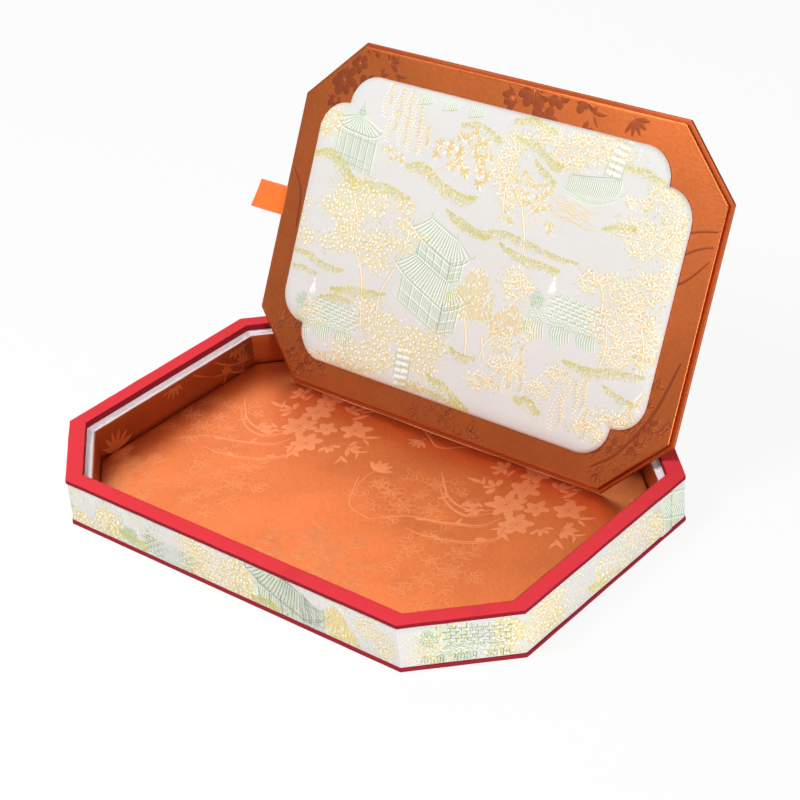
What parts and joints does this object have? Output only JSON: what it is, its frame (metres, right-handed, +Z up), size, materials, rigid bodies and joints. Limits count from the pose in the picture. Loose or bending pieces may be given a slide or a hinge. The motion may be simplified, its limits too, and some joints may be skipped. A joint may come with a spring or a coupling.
{
  "type": "chinese brocade box",
  "caption": "Shallow eight-sided presentation box with a satin-lined tray, a cloth rim and a loose padded brocade lid with a ribbon tab, shown open.",
  "frame": {"origin": "middle of the flat underside of the tray, on the surface it stands on", "axes": "+X along the long front to the right, +Y to the back, where the lid leans, +Z up"},
  "size_m": [0.31, 0.2508, 0.1768],
  "materials": {
    "greyboard": "raw grey book board",
    "base_cloth": "dark red woven book cloth",
    "rim_cloth": "red ribbed book cloth",
    "brocade": "ivory brocade with a gold and green landscape",
    "white_satin": "white satin",
    "copper_satin": "copper satin with a woven flower pattern",
    "wadding": "white wadding",
    "ribbon": "orange satin ribbon"
  },
  "bodies": {
    "tray": {"base_board": "greyboard", "ledge_ring": "greyboard", "rim_spacer": "greyboard", "rim_board": "greyboard", "liner_card": "greyboard", "floor_card": "greyboard", "outer_wall_front_right_corner": "greyboard", "outer_wall_right": "greyboard", "outer_wall_back_right_corner": "greyboard", "outer_wall_back": "greyboard", "outer_wall_back_left_corner": "greyboard", "outer_wall_left": "greyboard", "outer_wall_front_left_corner": "greyboard", "outer_wall_front": "greyboard", "inner_wall_front_right_corner": "greyboard", "inner_wall_right": "greyboard", "inner_wall_back_right_corner": "greyboard", "inner_wall_back": "greyboard", "inner_wall_back_left_corner": "greyboard", "inner_wall_left": "greyboard", "inner_wall_front_left_corner": "greyboard", "inner_wall_front": "greyboard", "base_cloth": "base_cloth", "rim_cloth": "rim_cloth", "wall_brocade": "brocade", "ledge_satin": "white_satin", "liner_satin": "copper_satin", "floor_satin": "copper_satin", "floor_wadding": "wadding"},
    "lid": {"lid_back_board": "greyboard", "lid_back_satin": "copper_satin", "lid_front_board": "greyboard", "lid_front_satin": "copper_satin", "panel_card": "greyboard", "panel_wadding": "wadding", "panel_brocade": "brocade", "ribbon_tail": "ribbon"},
    "ribbon": {"ribbon_tab": "ribbon"}
  },
  "joints": [
    {"name": "lid_lift", "type": "slide", "parent": "tray", "child": "lid", "axis": [0, 0, 1], "range_m": [0, 0.12]},
    {"name": "ribbon_flex", "type": "hinge", "parent": "lid", "child": "ribbon", "pos_m": [-0.13825, 0.09914, 0.09103], "axis": [0, 0.4462, 0.8949], "range_deg": [-85, 85], "stiffness_Nm_per_rad": 0.001}
  ]
}
